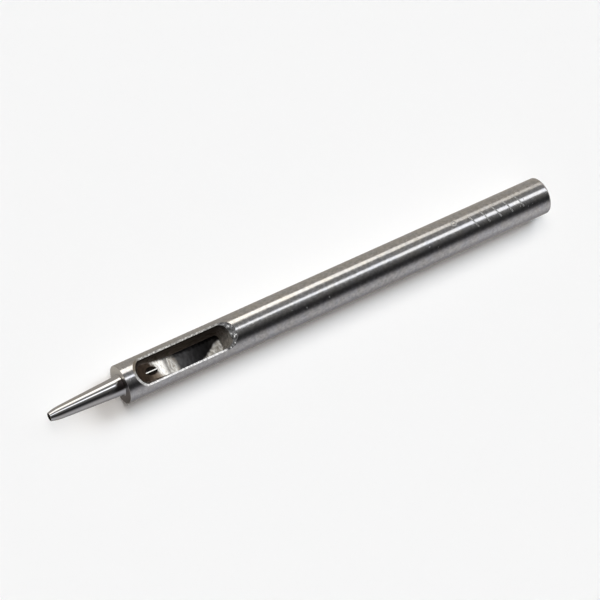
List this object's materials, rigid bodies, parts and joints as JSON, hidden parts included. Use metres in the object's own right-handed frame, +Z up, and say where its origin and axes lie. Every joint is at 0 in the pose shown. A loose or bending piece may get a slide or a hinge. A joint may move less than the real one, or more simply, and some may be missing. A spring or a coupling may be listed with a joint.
{
  "type": "hollow drive punch",
  "caption": "Slim round steel hole punch for leather: conical tubular cutting tip, cylindrical shank with a slug window in its side and a chamfered striking end.",
  "frame": {"origin": "on the surface the tool lies on, under the middle of its length and width", "axes": "+X along the tool's axis, from the cutting tip to the struck end; +Z up, out of the slug window; +Y across the shank"},
  "size_m": [0.1172, 0.008, 0.008],
  "materials": {
    "satin_steel": "fine turned satin, worn bright",
    "polished_steel": "polished"
  },
  "bodies": {
    "root": {"shank": "satin_steel", "punch_tip": "polished_steel"}
  },
  "joints": []
}
